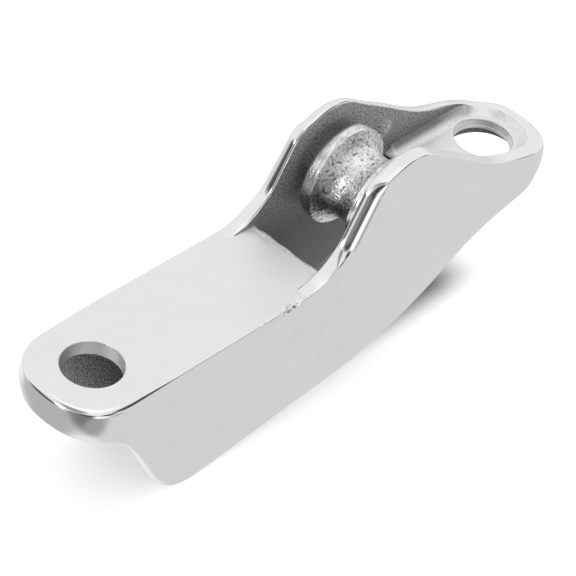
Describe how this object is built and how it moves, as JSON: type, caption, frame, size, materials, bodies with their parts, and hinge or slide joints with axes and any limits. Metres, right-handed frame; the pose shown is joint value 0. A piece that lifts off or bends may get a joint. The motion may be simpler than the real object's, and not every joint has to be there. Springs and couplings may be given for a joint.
{
  "type": "halyard lead with sheave",
  "caption": "Hollow polished stainless deck fitting with a bolt hole at each end and a grooved rope sheave on a flush pin between raised cheeks.",
  "frame": {"origin": "midway between the two bolt holes, on the underside of the plate, the one plane that both holes end on", "axes": "+X from the plain end towards the sheave, +Z along the bolts, up out of the plate, +Y across the casting along the sheave's pin"},
  "size_m": [0.124, 0.022, 0.0487],
  "materials": {
    "polished_stainless": "mirror-polished stainless steel outside, as-cast inside",
    "cast_stainless": "as-cast groove with polished flange bands",
    "bronze": "plain turned bush",
    "plain_stainless": "stamped and tumbled"
  },
  "bodies": {
    "fitting": {"casting": "polished_stainless", "axle_pin": "polished_stainless", "near_thrust_washer": "plain_stainless", "far_thrust_washer": "plain_stainless"},
    "wheel": {"sheave": "cast_stainless", "sheave_bush": "bronze"}
  },
  "joints": [
    {"name": "sheave_spin", "type": "hinge", "parent": "fitting", "child": "wheel", "pos_m": [0.0148, 0, 0.0082], "axis": [0, 1, 0], "continuous": true}
  ]
}
